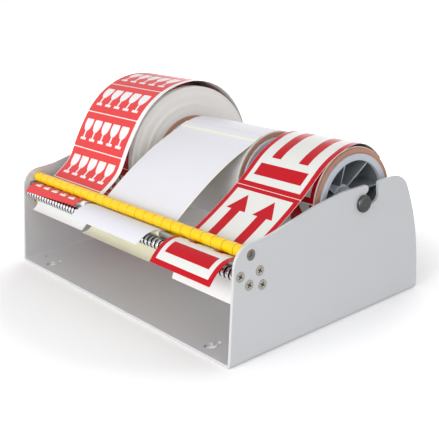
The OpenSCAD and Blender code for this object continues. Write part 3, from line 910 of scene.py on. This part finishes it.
in_row = add_node(tree, "ShaderNodeMath", {0: across, 1: row_middle, 2: row_half}, operation="COMPARE")
glasses = add_node(tree, "ShaderNodeMath", {
    0: in_row.outputs[0], 1: figure_of(tree, bowl.outputs[0], foot, stem)}, operation="MULTIPLY")
red_field = add_node(tree, "ShaderNodeMath", {0: 1.0, 1: glasses.outputs[0]}, operation="SUBTRACT")
inked(tree, shader, red_field.outputs[0], fibres, "E9E7E7", "F0EEEE", "DB3E40", "E34A4A")

# Middle label: plain.
plain_label, tree, shader, spot, fibres = label_print("plain_white_label", 0.4)
tone = add_node(tree, "ShaderNodeMix", {
    "Factor": fibres, colour_a: linear("DFDFE4"), colour_b: linear("E5E5EA")}, data_type="RGBA")
tree.links.new(tone.outputs[colour_out], shader.inputs["Base Color"])

# Right label: a border 3 to 5 mm wide, a bar of 53 x 12 mm and two arrows 65 mm long.
arrow_middle = 36.4
arrow_off_middle = 15.2
arrow_tip = 95.5
head_foot = 79.0
head_slope = 0.67
arrow_label, tree, shader, spot, fibres = label_print("white_label_with_arrows", 0.3)
across, up = spot.outputs["X"], spot.outputs["Y"]
off_centre = add_node(tree, "ShaderNodeMath", {0: across, 1: arrow_middle}, operation="SUBTRACT")
from_middle = add_node(tree, "ShaderNodeMath", {0: off_centre.outputs[0]}, operation="ABSOLUTE")
from_arrow = add_node(tree, "ShaderNodeMath", {
    0: from_middle.outputs[0], 1: arrow_off_middle}, operation="SUBTRACT")
field = printed_box(tree, from_middle.outputs[0], up, middle=(0.0, 51.9), half_size=(31.6, 47.5))
bar = printed_box(tree, from_middle.outputs[0], up, middle=(0.0, 17.4), half_size=(26.6, 5.9))
arrow_shaft = printed_box(tree, from_arrow.outputs[0], up, middle=(0.0, 54.6), half_size=(5.1, 24.6))
below_tip = add_node(tree, "ShaderNodeMath", {0: arrow_tip, 1: up}, operation="SUBTRACT")
head_width = add_node(tree, "ShaderNodeMath", {0: below_tip.outputs[0], 1: head_slope}, operation="MULTIPLY")
in_head = add_node(tree, "ShaderNodeMath", {
    0: from_arrow.outputs[0], 1: 0.0, 2: head_width.outputs[0]}, operation="COMPARE")
above_shaft = add_node(tree, "ShaderNodeMath", {0: up, 1: head_foot}, operation="GREATER_THAN")
arrow_head = add_node(tree, "ShaderNodeMath", {
    0: in_head.outputs[0], 1: above_shaft.outputs[0]}, operation="MULTIPLY")
border = add_node(tree, "ShaderNodeMath", {0: 1.0, 1: field}, operation="SUBTRACT")
red_figures = figure_of(tree, bar, arrow_shaft, arrow_head.outputs[0], border.outputs[0])
inked(tree, shader, red_figures, fibres, "DCDCD8", "E3E3DF", "B80A1A", "C21021")

label_thick = 0.00012
label_lift = 0.00005
label_corner = 0.0012
label_gap = 0.001
shortest_label = 0.002


def label(mesh, route, left, width, s0, s1, foot_at, corner, drift):
    """One label from s0 to s1 on a route; foot_at is where its front edge is, or would be."""
    lay_paper(mesh, route, left, left + width, s0, s1, label_thick, label_lift, corner,
              print_at=(left, foot_at), drift=drift)


def run_of_labels(name, route, left, width, first, pitch, print_paper, body, slot,
                  peeled=0.0, gap=label_gap, drift=0.0, short=0.0):
    """Labels one after another on a route, up to short of its end; the first joint is at first.

    The label before that joint starts at 0, and as much of its print as peeled is already past.
    """
    mesh = bmesh.new()
    joint = first
    last = length_of(route) - short
    label(mesh, route, left, width, 0.0, joint - gap / 2, -peeled, 0.0, drift)
    while joint + pitch < last:
        foot_at = joint + gap / 2
        label(mesh, route, left, width, foot_at, joint + pitch - gap / 2, foot_at, label_corner, drift)
        joint += pitch
    if last - joint > shortest_label:
        foot_at = joint + gap / 2
        label(mesh, route, left, width, foot_at, last, foot_at, 0.0, drift)
    piece_from(mesh, name, print_paper, body, slot)


peel_lift = 0.0004
peel_thick = 0.00022
peel_corner = 0.0008


def peeled_label(name, reach, lift, left, width, print_paper, slot, node, skew=0.0):
    """A label that left its backing at the peel bar and bends down in front of it; returns its length."""
    start = peel_at + (round_peel + peel_lift) * heading(over + 90)
    rise = -math.tan(math.radians(over))
    sag = (start.y - peel_at.y) / reach ** 2 + (rise - lift) / reach
    route = []
    for i in range(17):
        out = reach * (1 - i / 16)
        route.append(start + Vector((-out, rise * out - sag * out * out)))
    mesh = bmesh.new()
    lay_paper(mesh, route, left, left + width, 0.0, length_of(route), peel_thick, peel_thick / 2,
              peel_corner, print_at=(left, 0.0), slant=skew)
    piece_from(mesh, name, print_paper, "frame", slot, node)
    return length_of(route)


red_left, red_width = left_paper[0] + 0.001, 0.0855
plain_left, plain_width = mid_face + 0.001, 0.1025
arrow_left, arrow_width = right_paper[0] + 0.0002, 0.0729
left_peel = peeled_label("peeled_label_left", 0.0122, -0.11, red_left - 0.002, red_width + 0.002,
                         glass_label, "label_red", "label_left", skew=-0.0024)
mid_peel = peeled_label("peeled_label_middle", 0.024, -0.137, plain_left, plain_width,
                        plain_label, "label_white", "label_mid")
right_peel = peeled_label("peeled_label_right", 0.028, -0.357, arrow_left, arrow_width,
                          arrow_label, "label_red", "label_right")

backing("web_backing_left", left_web, *left_paper, white_glassine, "label_red", "web_left")
backing("web_backing_middle", mid_web, *mid_paper, cream_glassine, "label_white", "web_mid")
backing("web_backing_right", right_web, *right_paper, white_glassine, "label_red", "web_right")

red_first, red_pitch = 0.0193, 0.03707
plain_first, plain_pitch, plain_gap = 0.117, 0.152, 0.0018
arrow_first, arrow_pitch, arrow_gap = 0.0702, 0.1032, 0.0005
run_of_labels("web_labels_left", left_web, red_left, red_width, red_first, red_pitch,
              glass_label, "frame", "label_red", peeled=left_peel)
run_of_labels("web_labels_middle", mid_web, plain_left, plain_width, plain_first, plain_pitch,
              plain_label, "frame", "label_white", peeled=mid_peel, gap=plain_gap)
run_of_labels("web_labels_right", right_web, arrow_left, arrow_width, arrow_first, arrow_pitch,
              arrow_label, "frame", "label_red", peeled=right_peel, gap=arrow_gap)


# ---- Last turns on the rolls ----
# The last turn of the left and the right roll has sprung loose. It runs on from
# the web over the top and winds down onto the roll behind, drifting back in line.

web_shift = 0.005


def loose_turn(radius, loose, start, end):
    """A route over the top of a roll from angle start to end, which closes in on the roll's radius."""
    points = []
    for i in range(41):
        share = i / 40
        far = radius + loose * (1 - share ** 2) ** 2
        points.append(shaft_axis + far * heading(start + (end - start) * share))
    return points


def last_turn(name, route, paper_edges, labels_name, left, width, first, pitch, print_paper, body, gap):
    """The last turn of a roll: its backing paper and labels, in line with the web where it starts."""
    x0, x1 = paper_edges
    mesh = bmesh.new()
    lay_paper(mesh, route, x0 - web_shift, x1 - web_shift, 0.0, length_of(route), backing_thick,
              drift=web_shift)
    piece_from(mesh, name, white_glassine, body, "label_red")
    run_of_labels(labels_name, route, left - web_shift, width, first, pitch, print_paper, body, "label_red",
                  peeled=pitch - first - gap / 2, gap=gap, drift=web_shift)


# Each run of labels goes on from the web's last joint.
left_turn = loose_turn(left_radius, loose=0.00545, start=90, end=10)
right_turn = loose_turn(right_radius, loose=0.00345, start=106, end=40)
left_next = red_first + 4 * red_pitch - length_of(left_web)
right_next = arrow_first + arrow_pitch - length_of(right_web)
last_turn("loose_turn_left", left_turn, left_paper, "loose_labels_left", red_left, red_width,
          left_next, red_pitch, glass_label, "left_roll", label_gap)
last_turn("loose_turn_right", right_turn, right_paper, "loose_labels_right", arrow_left, arrow_width,
          right_next, arrow_pitch, arrow_label, "right_roll", arrow_gap)

# The turn below shows in the gap under the loose one, so the rolls have labels all round.
turn_depth = 0.00028
seam_at = 100
full_turn = -359.9
seam_gap = 0.001
for name, radius, left, width, pitch, print_paper, body, slot in (
        ("left", left_radius, left_face + 0.0005, 0.0828, 0.03667, glass_label, "left_roll", "label_red"),
        ("middle", mid_radius, plain_left, plain_width, 0.137, plain_label, "mid_roll", "label_white"),
        ("right", right_radius, right_face + 0.0003, 0.0719, 0.0907, arrow_label, "right_roll", "label_red")):
    route = round_off(shaft_axis, radius - turn_depth, seam_at, seam_at + full_turn, 120)
    run_of_labels("wound_labels_" + name, route, left, width, pitch * 0.4, pitch, print_paper, body, slot,
                  peeled=pitch * 0.6, short=seam_gap)
